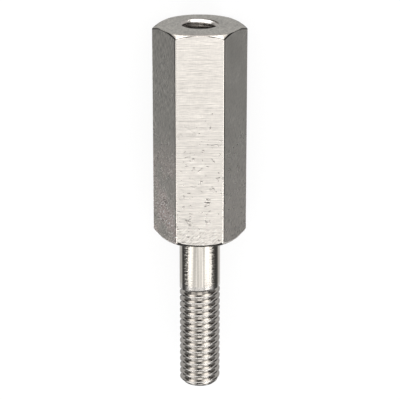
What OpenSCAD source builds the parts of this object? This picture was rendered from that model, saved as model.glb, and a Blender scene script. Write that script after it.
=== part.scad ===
// Hex standoff with a stud at one end and a tapped hole in the other, turned in one piece from
// hexagon bar. Lengths are in millimetres and angles in degrees.
//
// The standoff lies on one of its flats with its axis along Y, the tapped end at +Y and the stud at
// -Y. The origin is on the axis at the seat, the shoulder that bears on what the stud goes through.
// The two threads, 10-32 right-hand, are not cut in this model: the stud is as wide as the crests
// of its thread, and the hole is as wide as it is drilled for tapping.

/* [Hexagon body] */
// Width across the flats of the hexagon bar
hex_af = 9.525; // [8.5:0.025:12]
// Length of the body between its two end faces
hex_l = 25.4; // [19:0.2:50]
// How much wider the round end face is than the width across the flats
face_over = 0.075; // [0.025:0.025:0.6]
// Slope of the end chamfers, measured from the end face
chamfer_a = 30; // [15:1:45]

/* [Tapped hole] */
// Diameter of the hole as drilled for tapping
bore_d = 4.05; // [3.2:0.05:5]
// Depth of the hole, from the end face to the start of the drill point
bore_l = 12.7; // [6:0.1:15]
// How far the countersink widens the mouth of the hole, on the radius
sink_w = 0.125; // [0.025:0.025:0.5]
// Included angle of the countersink
sink_a = 90; // [60:1:120]
// Included angle of the drill point
point_a = 118; // [90:1:140]

/* [Stud] */
// Diameter of the plain shank next to the seat
shank_d = 4.825; // [4:0.025:7]
// Length of the plain shank
shank_l = 6.35; // [1:0.05:12]
// Diameter over the crests of the thread
thread_d = 4.79; // [3.5:0.01:6]
// Length of the threaded end, with the chamfer at its tip
thread_l = 12.7; // [6:0.1:30]
// Depth of the chamfer at the tip, on the radius
tip_c = 0.445; // [0.2:0.005:0.8]
// Slope of the chamfer at the tip, measured from the axis
tip_a = 45; // [30:1:60]

/* [Hidden] */
$fn = 96;
// How far one shape runs into or past the next, so that they join and cut cleanly
overlap = 0.5;
// The bar's radius to its corners
corner_r = hex_af / 2 / cos(30);
// The radius of the round end face
face_r = hex_af / 2 + face_over / 2;
// The turned blank that cuts the chamfers stands clear of the corners
blank_r = corner_r + overlap;
// Height of the chamfer cone from the end face to the blank's radius
cone_h = (blank_r - face_r) * tan(chamfer_a);
// Depth of the countersink and of the drill point
sink_h = sink_w / tan(sink_a / 2);
point_h = bore_d / 2 / tan(point_a / 2);
// The stud's length below the seat, and the length of the chamfer at its tip
stud_l = shank_l + thread_l;
tip_h = tip_c / tan(tip_a);

// The pieces below stand upright, with the axis along Z and the seat at zero.

// A bar of hexagon section, with two of its flats facing front and back.
module hexagon_bar() {
    cylinder(r = corner_r, h = hex_l, $fn = 6);
}

// A round blank with a cone at each end: where it meets the bar it turns the corners off,
// and each flat is left with an arched edge.
module chamfering_blank() {
    rotate_extrude()
        polygon([
            [0, 0],
            [face_r, 0],
            [blank_r, cone_h],
            [blank_r, hex_l - cone_h],
            [face_r, hex_l],
            [0, hex_l]
        ]);
}

// The hexagon body with both ends chamfered.
module hexagon_body() {
    intersection() {
        hexagon_bar();
        chamfering_blank();
    }
}

// The stud below the seat: plain shank, threaded end and chamfered tip. Its root runs into the body.
module stud() {
    rotate_extrude()
        polygon([
            [0, overlap],
            [shank_d / 2, overlap],
            [shank_d / 2, -shank_l],
            [thread_d / 2, -shank_l],
            [thread_d / 2, tip_h - stud_l],
            [thread_d / 2 - tip_c, -stud_l],
            [0, -stud_l]
        ]);
}

// What the drill and the countersink take out of the other end.
module tapping_hole() {
    translate([0, 0, hex_l])
        rotate_extrude()
            polygon([
                [0, -bore_l - point_h],
                [bore_d / 2, -bore_l],
                [bore_d / 2, -sink_h],
                [bore_d / 2 + sink_w, 0],
                [bore_d / 2 + sink_w, overlap],
                [0, overlap]
            ]);
}

// The whole standoff, laid down on one of its flats.
module standoff() {
    color("#c9c4bd")
        rotate([-90, 0, 0])
            difference() {
                union() {
                    hexagon_body();
                    stud();
                }
                tapping_hole();
            }
}

standoff();
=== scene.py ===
import math

import bmesh
import bpy
import numpy as np
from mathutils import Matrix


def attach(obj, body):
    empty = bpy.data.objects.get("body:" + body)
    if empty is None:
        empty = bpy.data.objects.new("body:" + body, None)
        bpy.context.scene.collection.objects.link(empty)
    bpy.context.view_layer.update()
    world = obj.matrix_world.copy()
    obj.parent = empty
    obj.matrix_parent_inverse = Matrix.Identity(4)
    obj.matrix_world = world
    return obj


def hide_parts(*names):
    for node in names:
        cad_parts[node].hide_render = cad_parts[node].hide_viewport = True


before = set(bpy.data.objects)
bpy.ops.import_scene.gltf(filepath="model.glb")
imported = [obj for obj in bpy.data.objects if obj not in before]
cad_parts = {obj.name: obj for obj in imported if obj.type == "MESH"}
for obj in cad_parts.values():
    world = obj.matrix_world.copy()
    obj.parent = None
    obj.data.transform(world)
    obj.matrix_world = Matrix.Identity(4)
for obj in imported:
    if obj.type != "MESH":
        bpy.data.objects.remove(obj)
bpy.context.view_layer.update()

# ----------------------------------------------------------------------------------------------
# Camera. It looks down on the lying standoff, 20 degrees towards the tapped end from square to
# the axis, with a long lens, so that the body comes nearer to it than the stud's tip.
# ----------------------------------------------------------------------------------------------
scene = bpy.context.scene
lens = bpy.data.cameras.new("bench_camera")
lens.sensor_width = 36.0
lens.lens = 176.94
lens.clip_start = 0.01
lens.clip_end = 20.0
camera = bpy.data.objects.new("bench_camera", lens)
camera.location = (0.000024, 0.08387, 0.217212)
camera.rotation_euler = (math.radians(-20.153), 0.0, 0.0)
scene.collection.objects.link(camera)
scene.camera = camera

# ----------------------------------------------------------------------------------------------
# Bench top and studio light. The bench top is a matt white sheet. Round the standoff stands a
# tent of white cloth with two dark flags along its sides, so that the bright metal has
# something to mirror: white from above and from both shoulders, dark at the sides.
# ----------------------------------------------------------------------------------------------
mm = 0.001
bench_z = -4.7625 * mm
bench_corners = [(-3.0, -3.0), (3.0, -3.0), (3.0, 3.0), (-3.0, 3.0)]
bench_mesh = bpy.data.meshes.new("bench_top")
bench_mesh.from_pydata([(x, y, bench_z) for x, y in bench_corners], [], [(0, 1, 2, 3)])
bench = bpy.data.objects.new("bench_top", bench_mesh)
scene.collection.objects.link(bench)
bench.visible_glossy = False


def grey(level):
    """A neutral colour of one brightness."""
    return (level, level, level, 1.0)


bench_white = bpy.data.materials.new("bench_white")
bench_white.use_nodes = True
sheet = bench_white.node_tree.nodes["Principled BSDF"]
sheet.inputs["Base Color"].default_value = grey(0.20)
sheet.inputs["Roughness"].default_value = 1.0
sheet.inputs["Specular IOR Level"].default_value = 0.0
sheet.inputs["Emission Color"].default_value = grey(1.0)
sheet.inputs["Emission Strength"].default_value = 0.82
bench_mesh.materials.append(bench_white)

scene.view_settings.view_transform = "Standard"
scene.view_settings.look = "None"


class Wiring:
    """Short names for adding shader nodes to one node tree."""

    def __init__(self, tree):
        self.tree = tree

    def node(self, kind, **settings):
        made = self.tree.nodes.new(kind)
        for key, value in settings.items():
            setattr(made, key, value)
        return made

    def put(self, socket, value):
        """Link a socket or set a value."""
        if isinstance(value, bpy.types.NodeSocket):
            self.tree.links.new(value, socket)
        else:
            socket.default_value = value

    def calc(self, operation, a, b=0.0, clamp=False):
        made = self.node("ShaderNodeMath", operation=operation, use_clamp=clamp)
        self.put(made.inputs[0], a)
        self.put(made.inputs[1], b)
        return made.outputs[0]

    def total(self, first, *rest):
        for value in rest:
            first = self.calc("ADD", first, value)
        return first

    def product(self, first, *rest):
        for value in rest:
            first = self.calc("MULTIPLY", first, value)
        return first

    def blend(self, factor, a, b):
        """From colour a at 0 to colour b at 1. Inputs 6 and 7 are the Mix node's colours."""
        made = self.node("ShaderNodeMix", data_type="RGBA")
        self.put(made.inputs["Factor"], factor)
        self.put(made.inputs[6], a)
        self.put(made.inputs[7], b)
        return made.outputs[2]

    def between(self, factor, a, b):
        """From number a at 0 to number b at 1. Inputs 2 and 3 are the Mix node's numbers."""
        made = self.node("ShaderNodeMix", data_type="FLOAT")
        self.put(made.inputs["Factor"], factor)
        self.put(made.inputs[2], a)
        self.put(made.inputs[3], b)
        return made.outputs[0]

    def step(self, value, low, high):
        """A smooth step from 0 at low to 1 at high, which may also be the smaller one."""
        made = self.node("ShaderNodeMapRange", interpolation_type="SMOOTHSTEP")
        self.put(made.inputs["Value"], value)
        self.put(made.inputs["From Min"], low)
        self.put(made.inputs["From Max"], high)
        return made.outputs["Result"]

    def ramp(self, factor, stops):
        """Greys between stops, each a place from 0 to 1 and a brightness."""
        made = self.node("ShaderNodeValToRGB")
        self.put(made.inputs["Fac"], factor)
        band = made.color_ramp
        band.interpolation = "LINEAR"
        while len(band.elements) < len(stops):
            band.elements.new(0.5)
        for element, (place, level) in zip(band.elements, stops):
            element.position = place
            element.color = grey(level)
        return made.outputs["Color"]

    def vector(self, x=0.0, y=0.0, z=0.0):
        made = self.node("ShaderNodeCombineXYZ")
        for socket, value in zip(made.inputs, (x, y, z)):
            self.put(socket, value)
        return made.outputs[0]

    def stretched(self, vector, by):
        """A vector times another, axis by axis."""
        made = self.node("ShaderNodeVectorMath", operation="MULTIPLY")
        self.put(made.inputs[0], vector)
        self.put(made.inputs[1], by)
        return made.outputs[0]

    def apart(self, vector):
        made = self.node("ShaderNodeSeparateXYZ")
        self.put(made.inputs[0], vector)
        return made.outputs

    def noise(self, vector, detail, roughness):
        """Noise about 0, one swing per unit of the vector."""
        made = self.node("ShaderNodeTexNoise", noise_dimensions="3D")
        self.put(made.inputs["Vector"], vector)
        made.inputs["Scale"].default_value = 1.0
        self.put(made.inputs["Detail"], detail)
        made.inputs["Roughness"].default_value = roughness
        return self.calc("SUBTRACT", made.outputs[0], 0.5)


def tent_light(world):
    """The tent's brightness as a function of direction. `around` is the angle about the
    standoff's axis from straight up, 0 to 1 for 0 to 180 degrees, one ramp for each side, and
    `lengthwise` is how far a direction leans along the axis, -1 at the stud's end and 1 at the
    tapped end. Matt surfaces get an even light instead."""
    world.use_nodes = True
    world.node_tree.nodes.clear()
    w = Wiring(world.node_tree)
    side, lengthwise, height = w.apart(w.node("ShaderNodeTexCoord").outputs["Generated"])
    out_wide = w.calc("ABSOLUTE", side)
    around = w.calc("DIVIDE", w.calc("ARCTAN2", out_wide, height), math.pi)
    # brightness against the angle in degrees, from straight up (0) to straight down (180), in
    # four zones: past the stud's end, and beside the thread, the shank and the hexagon body
    past_left = [
        (0, 0.06), (17, 0.06), (24, 0.32), (33, 0.72), (40, 1.40), (46, 2.00), (64, 2.30),
        (71, 1.90), (79, 1.25), (88, 0.65), (97, 0.36), (106, 0.12), (118, 0.12), (125, 0.58),
        (131, 0.74), (147, 0.60), (180, 0.76),
    ]
    past_right = [
        (0, 0.06), (7, 0.06), (13, 0.45), (19, 0.85), (23, 1.10), (30, 1.80), (36, 2.40),
        (52, 2.80), (59, 2.60), (64, 2.20), (71, 1.40), (79, 0.85), (90, 0.36), (100, 0.14),
        (117, 0.07), (124, 0.26), (130, 0.50), (140, 0.72), (156, 0.76), (180, 0.76),
    ]
    thread_left = [
        (0, 1.00), (12, 1.05), (18, 1.35), (27, 1.15), (34, 0.90), (41, 0.45), (51, 0.42),
        (58, 0.55), (65, 0.55), (72, 0.50), (79, 0.44), (86, 0.20), (97, 0.09), (108, 0.08),
        (117, 0.14), (124, 0.72), (131, 0.92), (147, 0.76), (180, 0.76),
    ]
    thread_right = [
        (0, 1.00), (12, 1.05), (17, 1.35), (21, 0.90), (26, 0.45), (40, 0.34), (48, 0.45),
        (56, 0.66), (63, 0.52), (70, 0.34), (78, 0.18), (86, 0.10), (99, 0.07), (116, 0.07),
        (123, 0.32), (130, 0.62), (140, 0.86), (156, 0.80), (180, 0.76),
    ]
    shank_left = [
        (0, 1.12), (3, 1.08), (7, 0.76), (13, 0.84), (18, 1.24), (22, 0.94), (29, 0.76),
        (35, 0.84), (40, 1.10), (44, 1.60), (47, 2.20), (68, 2.30), (72, 1.35), (77, 0.72),
        (83, 0.42), (89, 0.26), (95, 0.14), (101, 0.07), (108, 0.08), (118, 0.12), (125, 0.58),
        (131, 0.74), (147, 0.60), (180, 0.76),
    ]
    shank_right = [
        (0, 1.12), (4, 0.92), (8, 0.72), (11, 0.90), (14, 1.30), (18, 1.60), (23, 1.15),
        (28, 1.60), (34, 2.00), (70, 2.20), (74, 1.40), (79, 0.80), (84, 0.40), (90, 0.16),
        (96, 0.09), (104, 0.06), (117, 0.07), (124, 0.26), (130, 0.50), (140, 0.72), (156, 0.76),
        (180, 0.76),
    ]
    body_left = [
        (0, 1.43), (10, 1.41), (16, 0.58), (30, 0.55), (38, 1.60), (54, 1.80), (60, 0.60),
        (66, 0.06), (117, 0.04), (123, 0.40), (129, 0.82), (140, 1.10), (156, 0.90), (180, 0.76),
    ]
    body_right = [
        (0, 1.43), (10, 1.41), (16, 0.54), (29, 0.55), (35, 2.30), (50, 2.60), (55, 0.90),
        (60, 0.06), (117, 0.05), (123, 0.38), (129, 0.76), (140, 1.00), (156, 0.85), (180, 0.76),
    ]
    zones = (
        (past_left, past_right), (thread_left, thread_right),
        (shank_left, shank_right), (body_left, body_right),
    )
    bands = []
    for left, right in zones:
        bands.append(w.blend(
            w.calc("GREATER_THAN", side, 0.0),
            w.ramp(around, [(angle / 180, level) for angle, level in left]),
            w.ramp(around, [(angle / 180, level) for angle, level in right]),
        ))
    # how far a direction leans along the axis where each zone gives way to the next
    meetings = ((-0.435, -0.422), (-0.3886, -0.3876), (-0.3675, -0.3645))
    light = bands[0]
    for (from_lean, to_lean), band in zip(meetings, bands[1:]):
        light = w.blend(w.step(lengthwise, from_lean, to_lean), light, band)
    # the stud's end looks out of the tent through a dark doorway
    doorway = w.product(w.step(lengthwise, -0.60, -0.66), w.step(out_wide, 0.36, 0.26))
    light = w.blend(doorway, light, grey(0.05))
    # under the body the sheet lies in its shade, less so at the tapped end
    under = w.product(w.step(around, 0.62, 0.72), w.step(lengthwise, -0.50, -0.02))
    beyond = w.step(lengthwise, -0.04, 0.16)
    light = w.blend(under, light, w.blend(beyond, grey(0.22), (0.46, 0.455, 0.45, 1.0)))
    # between the tent's shoulders and its top, over the tapped end, it is shaded
    shaded = w.product(
        w.step(lengthwise, -0.26, -0.20), w.step(around, 0.12, 0.18), w.step(around, 0.34, 0.30),
    )
    light = w.blend(shaded, light, grey(0.66))
    # the flags at the sides are lighter towards the tapped end
    flags = w.product(
        w.step(around, 0.36, 0.42), w.step(around, 0.66, 0.60), w.step(lengthwise, -0.25, -0.15),
    )
    light = w.blend(flags, light, grey(0.20))
    # a brighter panel hangs over the body
    panel = w.product(w.step(lengthwise, -0.38, -0.26), w.step(around, 0.105, 0.05))
    light = w.blend(panel, light, grey(1.50))
    # a white cloth hangs at the tapped end, below a dark gap, and gets wider upwards
    gap = w.product(w.step(lengthwise, 0.38, 0.50), w.step(height, 0.25, 0.45))
    light = w.blend(gap, light, grey(0.25))
    cloth_end = w.between(w.step(height, -0.25, -0.08), 0.36, 0.54)
    cloth = w.product(
        w.step(lengthwise, 0.70, 0.84), w.step(height, 0.45, 0.25),
        w.step(w.calc("SUBTRACT", out_wide, cloth_end), 0.14, 0.0),
    )
    light = w.blend(cloth, light, grey(2.10))
    rays = w.node("ShaderNodeLightPath")
    light = w.blend(rays.outputs["Is Diffuse Ray"], light, grey(1.05))
    light = w.blend(rays.outputs["Is Camera Ray"], light, grey(1.0))
    lamp = w.node("ShaderNodeBackground")
    w.put(lamp.inputs["Color"], light)
    w.put(w.node("ShaderNodeOutputWorld").inputs["Surface"], lamp.outputs[0])


tent = bpy.data.worlds.new("studio_tent")
scene.world = tent
tent_light(tent)

# ----------------------------------------------------------------------------------------------
# The standoff: stainless steel, turned in one piece from hexagon bar, 9.525 mm across flats.
# Both ends of the bar are faced and chamfered, the stud is turned down at one end and threaded
# over its last half inch, and the other end is drilled and tapped. The threads are 10-32.
# ----------------------------------------------------------------------------------------------
# the hexagon body, its long edges rounded and the edges of both ends broken
tan_30 = math.tan(math.pi / 6)
half_flats = 9.525 / 2 * mm
corner_round = 0.30 * mm
body_length = 25.4 * mm
face_radius = 4.8 * mm
chamfer_slope = math.tan(math.radians(30.0))
top_break = 0.10 * mm
seat_break = 0.26 * mm

# the stud: crest_phase is where its crests lie and runout_turn where its groove ends, counted in
# turns of the thread up from the seat, and near there the crests grow to the shank's radius
pitch = 25.4 / 32 * mm
shank_radius = 2.4125 * mm
crest_radius = 2.395 * mm
crest_phase = -0.215
runout_turn = -8.27
runout_fade = 0.50
crest_lead = 0.35
crest_fade = 0.50
thread_start = -6.0 * mm
stud_end = -19.05 * mm
tip_radius = 1.95 * mm

# the tapped hole, and the lip that the tap has raised round its mouth
bore_radius = 2.025 * mm
groove_radius = 2.43 * mm
groove_phase = 0.61
tapped_depth = 10.0 * mm
bore_depth = 12.7 * mm
half_point = math.radians(59.0)
lip = 0.08 * mm
lip_foot = 3.2 * mm
mouth = 2.06 * mm


def turns_round():
    """Angles round the axis for the columns of the mesh, from one corner of the hexagon to the
    same corner again. Each flat has columns close together at its rounded edges, the first just
    before the rounding starts, and one where the round end face runs out on it."""
    runs_out = math.acos(half_flats / face_radius)
    tangent = math.atan((half_flats * tan_30 - corner_round * tan_30) / half_flats)
    before = tangent - 0.003
    half = np.concatenate([
        np.linspace(0.0, runs_out, 4)[:-1],
        np.linspace(runs_out, before, 6),
        np.linspace(tangent, math.pi / 6, 5),
    ])
    flat = np.concatenate([-half[::-1], half[1:]])
    middles = np.radians(60.0) * np.arange(1, 7)
    return np.append((middles[:, None] + flat[None, :-1]).ravel(), math.radians(390.0))


turn = turns_round()
from_middle = np.abs((turn + math.pi / 6) % (math.pi / 3) - math.pi / 6)


def bar_radius():
    """Radius of the hexagon bar in each column: the flat's distance over the cosine of the
    angle from its middle, and near a corner the far side of a small circle set in it."""
    inset = (half_flats - corner_round) / math.cos(math.pi / 6)
    off_corner = math.pi / 6 - from_middle
    reach_in = np.maximum(corner_round**2 - (inset * np.sin(off_corner)) ** 2, 0.0)
    rounded = inset * np.cos(off_corner) + np.sqrt(reach_in)
    on_round = inset * np.sin(off_corner) < corner_round / 2
    return np.where(on_round, rounded, half_flats / np.cos(from_middle))


def smooth(x):
    """A smooth step from 0 at x = 0 to 1 at x = 1."""
    x = np.clip(x, 0.0, 1.0)
    return x * x * (3 - 2 * x)


def thread_section():
    """Half of the thread's section: distances from the crest in pitches, and how far the
    surface has fallen there in pitches. Each piece has its slope: a nearly flat crest, a
    straight 60 degree flank and a rounded root."""
    places = np.array([
        0.0, 0.096, 0.104, 0.110, 0.116, 0.122, 0.132, 0.215, 0.290, 0.300, 0.36, 0.42, 0.46, 0.50,
    ])
    slopes = np.radians([
        0.0, 2.0, 10.0, 28.0, 48.0, 60.0, 60.0, 60.0, 60.0, 55.0, 45.0, 28.0, 8.0,
    ])
    falls = np.concatenate([[0.0], np.cumsum(np.diff(places) * np.tan(slopes))])
    return places, falls


section_places, section_falls = thread_section()

# half of the groove's section in the hole: distances from its middle in pitches, and how much of
# its depth it has there
groove_places = np.array([0.0, 0.04, 0.0625, 0.10, 0.35, 0.40, 0.50])
groove_shares = np.array([1.0, 0.995, 0.965, 0.87, 0.06, 0.0, 0.0])


def stud_radius(angle, along):
    """Radius of the stud: plain above, and below a right-hand thread that climbs one pitch a
    turn. Across a pitch it is a narrow crest, two flanks at 30 degrees to square and a rounded
    root. The groove gets shallow over the last part of a turn, where the crests grow to the
    shank's radius, and a 45 degree cone cuts the tip."""
    # the nudge keeps a place half way between two crests with the upper one
    nudge = 1e-6
    round_once = angle / (2 * math.pi)
    phase = along / pitch - round_once - crest_phase
    ridge = np.floor(phase + 0.5 + nudge)
    fall = pitch * np.interp(np.abs(phase - ridge), section_places, section_falls)
    fade = smooth((runout_turn - np.floor(phase) - round_once) / runout_fade)
    plain = smooth((ridge + round_once - runout_turn + crest_lead) / crest_fade)
    radius = crest_radius + (shank_radius - crest_radius) * plain - fall * fade
    return np.minimum(radius, tip_radius + (along - stud_end))


def hole_radius(angle, along):
    """Radius of the tapped hole: as drilled on the crests and wider in the groove, by the share
    that its section has. The groove climbs one pitch a turn, right-hand, and fades at the
    bottom, and a light countersink opens the mouth."""
    deep = body_length - along
    phase = along / pitch - angle / (2 * math.pi) - groove_phase
    rise = np.interp(np.abs(phase - np.round(phase)), groove_places, groove_shares)
    fade = smooth((tapped_depth - deep) / pitch)
    radius = bore_radius + (groove_radius - bore_radius) * rise * fade
    return np.maximum(radius, mouth - np.maximum(deep, 0.0))


def threaded_rows(radius_at, low, high, steps):
    """Rows that climb with a thread between two planes square to the axis. Row k lies at
    pitch x (whole turns + a step of the thread's section + angle / one turn), and where it
    would pass a plane it stops on it."""
    turns = np.arange(math.floor(low / pitch) - 2, math.ceil(high / pitch) + 2)
    level = (turns[:, None] + np.asarray(steps)[None, :]).ravel()
    along = pitch * (level[:, None] + turn[None, :] / (2 * math.pi))
    keep = (along.max(axis=1) > low) & (along.min(axis=1) < high)
    along = np.clip(along[keep], low, high)
    return radius_at(turn[None, :], along), along


def faced_edge(face, inward, edge_break):
    """Seven rows over the edge of an end: in from the face, over the broken edge, down the 30
    degree cone to where it meets the bar, and over that edge on to the flat. Where the cone
    misses the flat, both edges run together into one small quarter round. All rows but the
    first and the last lie on a worn edge."""
    past_edge = 0.04 * mm
    bar = bar_radius()
    rim = np.minimum(face_radius, bar)
    wide = bar - rim
    low = face + inward * wide * chamfer_slope
    # cut is how far each break reaches along the cone, so that both fit on it, and full is 1
    # where the cone is wide enough to show and 0 where there is none
    cut = np.minimum(edge_break, 0.45 * wide)
    full = np.clip(wide / (3 * edge_break), 0.0, 1.0)
    cone_r = math.cos(math.radians(30.0))
    cone_y = inward * math.sin(math.radians(30.0))
    rows = [
        (rim - 0.5 * edge_break + 0.25 * cut, face + 0.15 * cut * inward),
        (rim + cut * cone_r, face + cut * cone_y),
        (bar - cut * cone_r, low - cut * cone_y),
        (bar - 0.15 * cut, low + inward * (0.5 * edge_break - 0.25 * cut)),
    ]
    made = [(rim - edge_break, face + 0 * rim)]
    for row, angle in zip(rows, np.radians([18.0, 36.0, 54.0, 72.0])):
        round_r = rim - edge_break * (1 - math.sin(angle))
        round_y = face + inward * edge_break * (1 - math.cos(angle))
        made.append(((1 - full) * round_r + full * row[0], (1 - full) * round_y + full * row[1]))
    made.append((bar, low + inward * edge_break))
    made.append((bar, low + inward * (edge_break + past_edge)))
    return made


def stacked(rows):
    """Rows as two arrays, radius and place along the axis, with a row for each ring."""
    radius = np.array([np.broadcast_to(r, turn.shape) for r, _ in rows])
    along = np.array([np.broadcast_to(y, turn.shape) for _, y in rows])
    return radius, along


# where the rows of the threads lie in each pitch: up one half of the section and down the other
stud_steps = crest_phase + np.append(section_places, 1.0 - section_places[-2:0:-1])
hole_steps = groove_phase + np.append(groove_places[:-1], 1.0 - groove_places[-2:0:-1])

# rows of the body, from the seat's fillet to the lip round the hole
seat_edge = faced_edge(0.0, 1.0, seat_break)
top_edge = faced_edge(body_length, -1.0, top_break)
edge_wear = [0, 1, 1, 1, 1, 1, 0]
fillet_size = 0.03 * mm
fillet = [
    (shank_radius, -fillet_size),
    (shank_radius + 0.3 * fillet_size, -0.3 * fillet_size),
    (shank_radius + fillet_size, 0.0),
]
seat_rows = fillet + [(r * mm, 0.0) for r in (3.0, 3.7, 4.4)]
flat_rows = [(bar_radius(), y * mm) for y in (1.5, 5.0, 10.0, 15.0, 20.0, 23.9)]
mouth_ring = hole_radius(turn, body_length + lip)
land_rows = [(4.4 * mm, body_length), (3.8 * mm, body_length)] + [
    (mouth_ring + (lip_foot - mouth_ring) * s, body_length + lip * (1 + math.cos(math.pi * s)) / 2)
    for s in np.linspace(1.0, 0.0, 9)
]

# rows of the hole: its turns and a little below them, the drilled wall and the drill point
low_of_thread = body_length - tapped_depth - 0.2 * mm
tapped_rows = threaded_rows(hole_radius, low_of_thread, body_length + lip, hole_steps)
bore_end = body_length - bore_depth
point = bore_radius / math.tan(half_point)
drill_rows = [(bore_radius, y) for y in np.linspace(low_of_thread, bore_end, 4)]
drill_rows += [(bore_radius / 2, bore_end - point / 2), (0.0, bore_end - point)]

# rows of the stud
tip_ring = stud_radius(turn, np.full_like(turn, stud_end))
tip_rows = [(r * mm, stud_end) for r in (0.0, 0.6, 1.2, 1.7)] + [(tip_ring, stud_end)]
thread_rows = threaded_rows(stud_radius, stud_end, thread_start, stud_steps)
shank_rows = [(shank_radius, y) for y in np.linspace(thread_start, -fillet_size, 9)]


def painted_shade_on_thread(radius, along):
    """How dark the thread is painted with shade: a line of painted shade on the first crest where
    it lies up, within line_half pitches of its middle and line_reach to each side, and a ring of
    painted shade round the tip, ring_height high. Each ends in a smooth step."""
    first_crest = -8.0
    line_half, line_fade = 0.135, 0.03
    line_reach, line_end = 1.7 * mm, 0.6 * mm
    ring_height, ring_fade, ring_dark = 0.22 * mm, 0.10 * mm, 0.75
    from_top = np.where(turn > math.pi, turn - 2 * math.pi, turn)
    off_first_crest = along / pitch - from_top / (2 * math.pi) - crest_phase - first_crest
    to_side = np.where(np.cos(turn) > 0, np.abs(radius * np.sin(turn)), 1.0)
    line = smooth((line_half - np.abs(off_first_crest)) / line_fade)
    line = line * smooth((line_reach - to_side) / line_end)
    return np.maximum(line, ring_dark * smooth((stud_end + ring_height - along) / ring_fade))


# finish, radius and place along the axis, and how much of it is a worn edge, or on the thread
# how much painted shade darkens it
patches = [
    ("turned", stacked(tip_rows), [0, 0, 0, 0, 1]),
    ("thread", thread_rows, painted_shade_on_thread(*thread_rows)),
    ("shank", stacked(shank_rows), 0),
    ("turned", stacked(seat_rows + seat_edge[:4]), [0] * len(seat_rows) + edge_wear[:4]),
    (
        "flat", stacked(seat_edge[3:] + flat_rows + top_edge[:2:-1]),
        edge_wear[3:] + [0] * len(flat_rows) + edge_wear[:2:-1],
    ),
    ("turned", stacked(top_edge[3::-1] + land_rows), edge_wear[3::-1] + [0] * len(land_rows)),
    ("hole", (tapped_rows[0][::-1], tapped_rows[1][::-1]), 0),
    ("hole", stacked(drill_rows), 0),
]


def turned_mesh(name, patches, finishes):
    """One closed mesh from patches of rows. A point is (radius x sin, along, radius x cos) of
    its column's angle, and neighbouring rows and columns are joined by four-sided faces. Points
    of different patches that fall together are merged, so that the skin has no seam. The map
    holds millimetres round the bar's outline, from the middle of the upper right flat, and
    along the axis."""
    # which flat a column is on, the first after the first corner being 0
    side = 2 * half_flats * tan_30
    nudge = 1e-9
    which = np.round((turn - math.pi / 6 - nudge) / (math.pi / 3) - 0.5)
    middle = math.radians(60.0) * (which + 1)
    round_bar = which * side + half_flats * np.tan(turn - middle)
    # the flats are worn along their rounded edges, and a little past them
    off_corner = half_flats * (tan_30 - np.tan(from_middle))
    worn_wide, worn_fade = 1.1, 0.3
    corner = np.clip((worn_wide - off_corner / (corner_round * tan_30)) / worn_fade, 0.0, 1.0)
    points, faces, slots, maps, edges = [], [], [], [], []
    count = 0
    for finish, (radius, along), edge in patches:
        rows, columns = radius.shape
        xyz = np.stack([radius * np.sin(turn), along, radius * np.cos(turn)], axis=-1)
        number = count + np.arange(rows * columns).reshape(rows, columns)
        quad = np.stack(
            [number[:-1, :-1], number[:-1, 1:], number[1:, 1:], number[1:, :-1]], axis=-1,
        )
        points.append(xyz.reshape(-1, 3))
        faces.append(quad.reshape(-1, 4))
        slots.append(np.full(quad.shape[0] * quad.shape[1], finishes.index(finish)))
        uv = np.stack([np.broadcast_to(round_bar, radius.shape), along], axis=-1) / mm
        maps.append(uv.reshape(-1, 2))
        # on the thread this holds painted shade, elsewhere how much of it is a worn edge
        marked = np.zeros(radius.shape) + (edge if np.ndim(edge) == 2 else np.reshape(edge, (-1, 1)))
        if finish == "flat":
            marked = np.maximum(marked, corner[None, :])
        edges.append(marked.ravel())
        count += rows * columns
    points, faces, edges = np.concatenate(points), np.concatenate(faces), np.concatenate(edges)
    slots, maps = np.concatenate(slots), np.concatenate(maps)
    mesh = bpy.data.meshes.new(name)
    mesh.from_pydata(points.tolist(), [], faces.tolist())
    mesh.polygons.foreach_set("material_index", slots.astype(np.int32))
    layer = mesh.uv_layers.new(name="round_and_along")
    layer.data.foreach_set("uv", maps[faces.ravel()].astype(np.float32).ravel())
    worn_edge_and_painted_shade = mesh.attributes.new("worn_edge_and_painted_shade", "FLOAT", "POINT")
    worn_edge_and_painted_shade.data.foreach_set("value", edges.astype(np.float32))
    # points closer than this, in metres, are one point, and edges shorter than this are none
    one_point, no_edge = 2e-7, 1e-8
    work = bmesh.new()
    work.from_mesh(mesh)
    bmesh.ops.remove_doubles(work, verts=work.verts, dist=one_point)
    bmesh.ops.dissolve_degenerate(work, edges=work.edges, dist=no_edge)
    work.to_mesh(mesh)
    work.free()
    mesh.shade_smooth()
    mesh.set_sharp_from_angle(angle=math.radians(35.0))
    return mesh


finishes = ["flat", "turned", "shank", "thread", "hole"]
standoff_mesh = turned_mesh("standoff_steel", patches, finishes)
standoff = bpy.data.objects.new("standoff_steel", standoff_mesh)
scene.collection.objects.link(standoff)


# the steel's finishes: marks that more than one of them shows are node groups
def group_of(name, inputs, outputs):
    """An empty node group with named number and vector inputs, and numbers as outputs."""
    group = bpy.data.node_groups.new(name, "ShaderNodeTree")
    for label, kind, value in inputs:
        socket = group.interface.new_socket(label, in_out="INPUT", socket_type="NodeSocket" + kind)
        socket.default_value = value
    for label in outputs:
        group.interface.new_socket(label, in_out="OUTPUT", socket_type="NodeSocketFloat")
    w = Wiring(group)
    return group, w, w.node("NodeGroupInput").outputs, w.node("NodeGroupOutput").inputs


def grain_group():
    """Fine marks of one direction: noise on a place that is stretched by Frequency, marks per
    millimetre along each of its directions. The value swings about 0 by Strength."""
    group, w, given, made = group_of(
        "steel_grain",
        [
            ("Place", "Vector", (0, 0, 0)), ("Frequency", "Vector", (1, 1, 1)),
            ("Detail", "Float", 3.0), ("Strength", "Float", 1.0),
        ],
        ["Value"],
    )
    stretched = w.stretched(given["Place"], given["Frequency"])
    w.put(made["Value"], w.product(w.noise(stretched, given["Detail"], 0.6), given["Strength"]))
    return group


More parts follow.
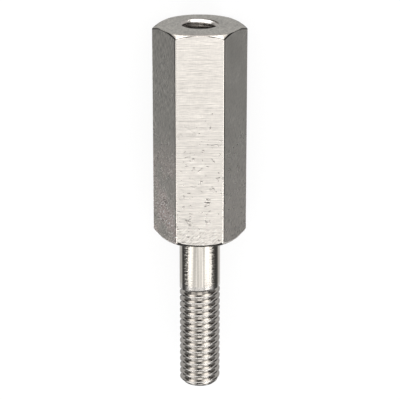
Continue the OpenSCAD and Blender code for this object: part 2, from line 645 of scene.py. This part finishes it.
def dings_group():
    """Small dents: in each cell of a Voronoi pattern, Size millimetres wide, a bowl with a smooth
    wall round the cell's point. It reaches from half to one and a half times Reach of the
    cell's size, and only the share of the cells that Amount says has one. The pattern is bent
    a little first, so that no dent is quite round."""
    group, w, given, made = group_of(
        "steel_dings",
        [
            ("Place", "Vector", (0, 0, 0)), ("Size", "Float", 0.4),
            ("Amount", "Float", 0.2), ("Reach", "Float", 0.3),
        ],
        ["Bowl"],
    )
    wobble = w.node("ShaderNodeTexNoise", noise_dimensions="3D")
    w.put(wobble.inputs["Vector"], given["Place"])
    wobble.inputs["Scale"].default_value = 5.0
    bent = w.node("ShaderNodeVectorMath", operation="MULTIPLY_ADD")
    w.put(bent.inputs[0], wobble.outputs["Color"])
    bent.inputs[1].default_value = (0.22, 0.22, 0.22)
    w.put(bent.inputs[2], given["Place"])
    cells = w.node("ShaderNodeTexVoronoi", voronoi_dimensions="3D", feature="F1")
    w.put(cells.inputs["Vector"], bent.outputs[0])
    w.put(cells.inputs["Scale"], w.calc("DIVIDE", 1.0, given["Size"]))
    chance = w.apart(cells.outputs["Color"])
    has_one = w.calc("LESS_THAN", chance[0], given["Amount"])
    reach = w.product(given["Reach"], w.total(0.5, chance[1]))
    depth = w.step(cells.outputs["Distance"], reach, w.product(reach, 0.3))
    w.put(made["Bowl"], w.product(depth, has_one))
    return group


def scratches_group():
    """Thin winding scratches: where noise crosses its middle value it makes long curved lines,
    and a second, broader noise keeps only stretches of them."""
    group, w, given, made = group_of(
        "steel_scratches",
        [
            ("Place", "Vector", (0, 0, 0)), ("Frequency", "Vector", (1, 1, 1)),
            ("Width", "Float", 0.02), ("Kept", "Float", 0.1),
        ],
        ["Line"],
    )
    stretched = w.stretched(given["Place"], given["Frequency"])
    line = w.step(w.calc("ABSOLUTE", w.noise(stretched, 1.0, 0.4)), given["Width"], 0.0)
    patch = w.noise(w.stretched(given["Place"], (0.9, 0.9, 0.9)), 0.0, 0.5)
    kept = w.step(patch, given["Kept"], w.total(given["Kept"], 0.04))
    w.put(made["Line"], w.product(line, kept))
    return group


steel_grain = grain_group()
steel_dings = dings_group()
steel_scratches = scratches_group()


def placed(w, group, output, **values):
    """One use of a node group, with its inputs set by name."""
    made = w.node("ShaderNodeGroup", node_tree=group)
    for label, value in values.items():
        w.put(made.inputs[label], value)
    return made.outputs[output]


def grained(w, place, frequency, strength=1.0, detail=3.0):
    """One use of the grain."""
    return placed(
        w, steel_grain, "Value",
        Place=place, Frequency=frequency, Detail=detail, Strength=strength,
    )


def dented(w, place, size, amount, reach):
    """One use of the dents."""
    return placed(w, steel_dings, "Bowl", Place=place, Size=size, Amount=amount, Reach=reach)


def scratched(w, place, frequency, width, kept):
    """One use of the scratches."""
    return placed(
        w, steel_scratches, "Line", Place=place, Frequency=frequency, Width=width, Kept=kept,
    )


def in_millimetres(w):
    """A point's place on the standoff, from the seat's centre, in millimetres."""
    metres = w.node("ShaderNodeTexCoord").outputs["Object"]
    return w.stretched(metres, (1 / mm, 1 / mm, 1 / mm))


def wear_and_painted_shade(w):
    """What the mesh keeps at each point: worn edges, and painted shade on the thread."""
    return w.node("ShaderNodeAttribute", attribute_name="worn_edge_and_painted_shade").outputs["Fac"]


def from_axis(w, x, z):
    """Distance from the standoff's axis."""
    return w.calc("SQRT", w.total(w.product(x, x), w.product(z, z)))


def steel(finish):
    """A bare steel skin on the standoff, and the wiring to finish it."""
    material = bpy.data.materials.new("steel_" + finish)
    material.use_nodes = True
    w = Wiring(material.node_tree)
    skin = material.node_tree.nodes["Principled BSDF"]
    skin.inputs["Metallic"].default_value = 1.0
    standoff_mesh.materials.append(material)
    return w, skin


def finish_off(w, skin, colour, tone, roughness, height):
    """Colour times tone, roughness, and a height in millimetres as a bump."""
    bump = w.node("ShaderNodeBump")
    bump.inputs["Strength"].default_value = 1.0
    bump.inputs["Distance"].default_value = mm
    w.put(bump.inputs["Height"], height)
    tinted = w.node("ShaderNodeVectorMath", operation="SCALE")
    w.put(tinted.inputs[0], colour)
    w.put(tinted.inputs["Scale"], tone)
    w.put(skin.inputs["Base Color"], tinted.outputs[0])
    w.put(skin.inputs["Roughness"], roughness)
    w.put(skin.inputs["Normal"], bump.outputs[0])


def flat_steel():
    """The bar's own flats: cold drawn along the bar, wiped down across it on the side that lies
    up, and dented, scratched and rubbed where they knocked against other parts, mostly towards
    the stud."""
    w, skin = steel("flat")
    place = w.node("ShaderNodeUVMap", uv_map="round_and_along").outputs[0]
    across, along, _ = w.apart(place)
    edge = wear_and_painted_shade(w)
    # where on the bar: round its outline and along it, in millimetres
    top_middle = 27.5
    lies_up = w.step(w.calc("ABSOLUTE", w.calc("SUBTRACT", across, top_middle)), 2.80, 2.70)
    sideways = w.calc("SUBTRACT", 1.0, lies_up)
    to_left = w.step(across, 8.0, 16.0)
    near_stud = w.step(along, 17.5, 9.5)
    at_seat = w.step(along, 3.4, 1.2)
    rubbed_and_painted_highlight = w.step(along, 15.0, 3.0)

    # lines from drawing and wiping
    wiped = grained(w, place, (0.20, 6.8, 1.0), strength=0.90)
    wiped_fine = grained(w, place, (1.0, 10.0, 1.0), strength=0.80)
    drawn = grained(w, place, (7.5, 1.5, 1.0), detail=1.5)
    cloudy = grained(w, place, (0.6, 0.45, 1.0), strength=0.16)
    pressed = grained(w, place, (0.35, 0.5, 1.0), detail=1.0)
    firmly = w.between(w.step(pressed, -0.14, 0.14), 0.80, 1.15)
    wipe = w.product(
        w.total(wiped, wiped_fine), firmly,
        w.between(lies_up, 0.15, 1.0), w.between(edge, 1.0, 0.3),
    )
    drawn = w.product(drawn, w.between(lies_up, 1.0, 0.10))
    # at the tapped end the right flat is still smooth, and the left one rougher
    fresh = w.product(w.step(across, 6.0, 4.0), w.step(along, 13.0, 19.0))
    wrinkled = w.product(to_left, w.step(along, 10.0, 16.0))
    drawn = w.product(drawn, w.between(fresh, 0.85, 0.3), w.between(wrinkled, 1.0, 1.9))

    # dents and scratches, and slanting strokes next to the seat
    dings = dented(w, place, 0.48, w.product(near_stud, 0.07), 0.36)
    specks = dented(w, place, 0.25, w.product(near_stud, 0.10), 0.36)
    nicks = scratched(w, place, (0.8, 0.9, 1.0), width=0.045, kept=0.085)
    lines = scratched(w, place, (0.45, 0.4, 1.0), width=0.022, kept=0.09)
    marks = w.product(w.total(nicks, lines), near_stud)
    turned_round = w.node("ShaderNodeMapping")
    turned_round.inputs["Rotation"].default_value = (0.0, 0.0, math.radians(-38.0))
    w.put(turned_round.inputs["Vector"], place)
    slanting = turned_round.outputs[0]
    hatched = grained(w, slanting, (1.7, 5.6, 1.0), detail=1.5)
    hatched = w.product(hatched, w.total(w.product(at_seat, 2.2), w.product(sideways, 0.6)))

    # the side flats are knocked all over in patches, hardest on the left towards the stud
    patch = grained(w, place, (0.30, 0.24, 1.0), detail=1.0)
    knocked = w.step(w.total(patch, w.product(near_stud, 0.08)), -0.26, 0.30)
    knocked = w.product(knocked, sideways)
    knocks = grained(w, slanting, (2.4, 6.4, 1.0), detail=2.5)
    hard = w.between(to_left, 1.2, w.between(w.step(along, 12.0, 5.0), 1.2, 3.4))
    knocks = w.product(
        knocks, w.total(w.product(knocked, hard), w.between(lies_up, 0.15, 0.08)),
    )
    bright = w.product(w.calc("MAXIMUM", w.calc("SUBTRACT", knocks, 0.13), 0.0), 3.0)

    height = w.total(
        w.product(dings, -0.030), w.product(specks, -0.012), w.product(marks, -0.014),
        w.product(knocks, 0.060), w.product(hatched, 0.012), w.product(wipe, 0.004),
    )
    height = w.product(height, w.between(edge, 1.0, 0.15))
    tone = w.total(
        1.0, wipe, drawn, cloudy, w.product(knocks, 0.45), bright, w.product(hatched, 0.50),
        w.product(dings, -0.24), w.product(specks, -0.13), w.product(marks, -0.20),
    )
    # painted light: the flat that lies up is painted lighter than the side flats, and towards the
    # seat all grow brighter, partly rubbed and partly painted highlight, most on the flat that
    # lies up and least on the left one
    painted_shine = w.between(lies_up, w.between(to_left, 0.08, 0.03), 0.12)
    painted_light_and_rubbing = w.total(w.between(lies_up, 0.89, 1.062), w.product(rubbed_and_painted_highlight, painted_shine))
    # painted shade: the arched edges at the tapped end are painted dark beside the flat that lies
    # up
    painted_arch_shade = w.product(w.step(edge, 0.75, 0.95), w.step(along, 22.0, 23.5), sideways)
    tone = w.product(tone, painted_light_and_rubbing, w.between(painted_arch_shade, 1.0, 0.22))
    # painted light: the flat that lies up is a little warmer, and so are the flats towards the
    # seat where they are rubbed; and a faint red tarnish lies in patches on the left, towards the
    # seat
    colour = w.blend(
        w.calc("MAXIMUM", lies_up, rubbed_and_painted_highlight), (0.710, 0.684, 0.633, 1.0), (0.72, 0.68, 0.63, 1.0),
    )
    tarnish = w.product(w.step(patch, -0.08, 0.08), rubbed_and_painted_highlight, sideways, to_left)
    colour = w.blend(tarnish, colour, (0.768, 0.664, 0.622, 1.0))
    marked = w.calc("MAXIMUM", w.total(dings, specks, marks), 0.0, clamp=True)
    roughness = w.between(edge, w.between(marked, 0.32, 0.22), 0.11)
    finish_off(w, skin, colour, tone, roughness, height)


def turned_steel():
    """Faced on the lathe: fine rings round the axis and a faint speckle between them."""
    w, skin = steel("turned")
    place = in_millimetres(w)
    x, _, z = w.apart(place)
    rings = grained(w, w.vector(from_axis(w, x, z), 0.0, 0.0), (5.0, 1.0, 1.0), strength=0.50)
    speckle = grained(w, place, (4.2, 4.2, 2.0), strength=1.2)
    clouds = grained(w, place, (0.5, 0.5, 0.5), strength=0.5)
    height = w.total(w.product(rings, 0.012), w.product(speckle, 0.006))
    tone = w.total(1.0, rings, speckle, clouds)
    # painted light: warmer and a little lighter along the upper edge, where it faces up
    painted_warm_top = w.step(z, 3.4, 4.4)
    colour = w.blend(painted_warm_top, (0.688, 0.668, 0.618, 1.0), (0.722, 0.672, 0.615, 1.0))
    finish_off(w, skin, colour, tone, w.between(wear_and_painted_shade(w), 0.28, 0.17), height)


def shank_steel():
    """Turned smooth and rolled bright, with a skin that is torn a little at its sides, more at
    the left one."""
    w, skin = steel("shank")
    place = in_millimetres(w)
    x, y, _ = w.apart(place)
    to_side = w.calc("ABSOLUTE", x)
    torn = w.product(w.step(to_side, 1.30, 1.56), w.step(to_side, 2.0, 1.80))
    torn = w.product(torn, w.between(w.step(x, -0.5, 0.5), 1.0, 0.5))
    ripple = grained(w, place, (1.0, 4.2, 1.0), detail=2.0)
    fine = grained(w, place, (3.2, 5.0, 3.2), detail=0.0)
    rings = grained(w, w.vector(y, 0.0, 0.0), (6.0, 1.0, 1.0), strength=0.06)
    rolled = grained(w, w.vector(x, w.product(y, 0.02), 0.0), (5.6, 1.0, 1.0))
    height = w.product(
        w.total(w.product(ripple, 0.034), w.product(fine, 0.018)), w.total(0.03, torn),
    )
    tone = w.total(1.0, rings, rolled, w.product(fine, 0.6, torn))
    finish_off(w, skin, (0.675, 0.634, 0.577), tone, 0.085, height)


def thread_steel():
    """Cut with a die: bright flanks with small tears, and crests painted brighter in the middle, a
    painted highlight where they face up, and darker at the sides.
    Painted shade darkens a line on the first crest and a ring round the tip."""
    w, skin = steel("thread")
    place = in_millimetres(w)
    x, y, z = w.apart(place)
    crest = w.product(w.step(from_axis(w, x, z), 2.30, 2.38), w.step(y, -6.5, -6.8))
    rubbed_and_painted_highlight = w.between(w.step(w.calc("ABSOLUTE", x), 0.50, 1.00), 1.16, 0.80)
    tears = grained(w, place, (3.0, 5.0, 3.0))
    clouds = grained(w, place, (0.9, 0.9, 0.9), strength=0.35)
    tone = w.total(1.0, w.product(tears, 0.35), clouds)
    # painted highlight on the crests where they face up, and painted shade from the mesh's
    # attribute on the first crest and round the tip
    tone = w.product(tone, w.between(crest, 1.0, rubbed_and_painted_highlight), w.between(wear_and_painted_shade(w), 1.0, 0.22))
    roughness = w.total(0.08, w.product(tears, 0.08))
    finish_off(w, skin, (0.674, 0.644, 0.608), tone, roughness, w.product(tears, 0.008))


def hole_steel():
    """The tapped hole: the same steel in a lighter colour as painted light, darker with painted
    shade the deeper it is, and with a band of painted shade in the turn below the mouth."""
    w, skin = steel("hole")
    place = in_millimetres(w)
    _, y, _ = w.apart(place)
    tears = grained(w, place, (3.0, 5.0, 3.0))
    # painted shade: darker the deeper it is in the hole, and a dark band of painted shade in the
    # groove of the turn below the mouth
    painted_hole_light = w.total(w.step(y, 23.6, 25.2), w.product(tears, 0.30))
    painted_groove_shade = w.product(w.step(y, 24.62, 24.52), w.step(y, 23.6, 24.0))
    tone = w.product(w.between(painted_hole_light, 0.75, 1.0), w.between(painted_groove_shade, 1.0, 0.08))
    # painted light: a lighter colour than the other finishes, so that light bounced inside the
    # hole is brighter
    finish_off(w, skin, (0.81, 0.77, 0.73), tone, 0.20, w.product(tears, 0.008))


flat_steel()
turned_steel()
shank_steel()
thread_steel()
hole_steel()

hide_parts("standoff")
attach(standoff, "root")
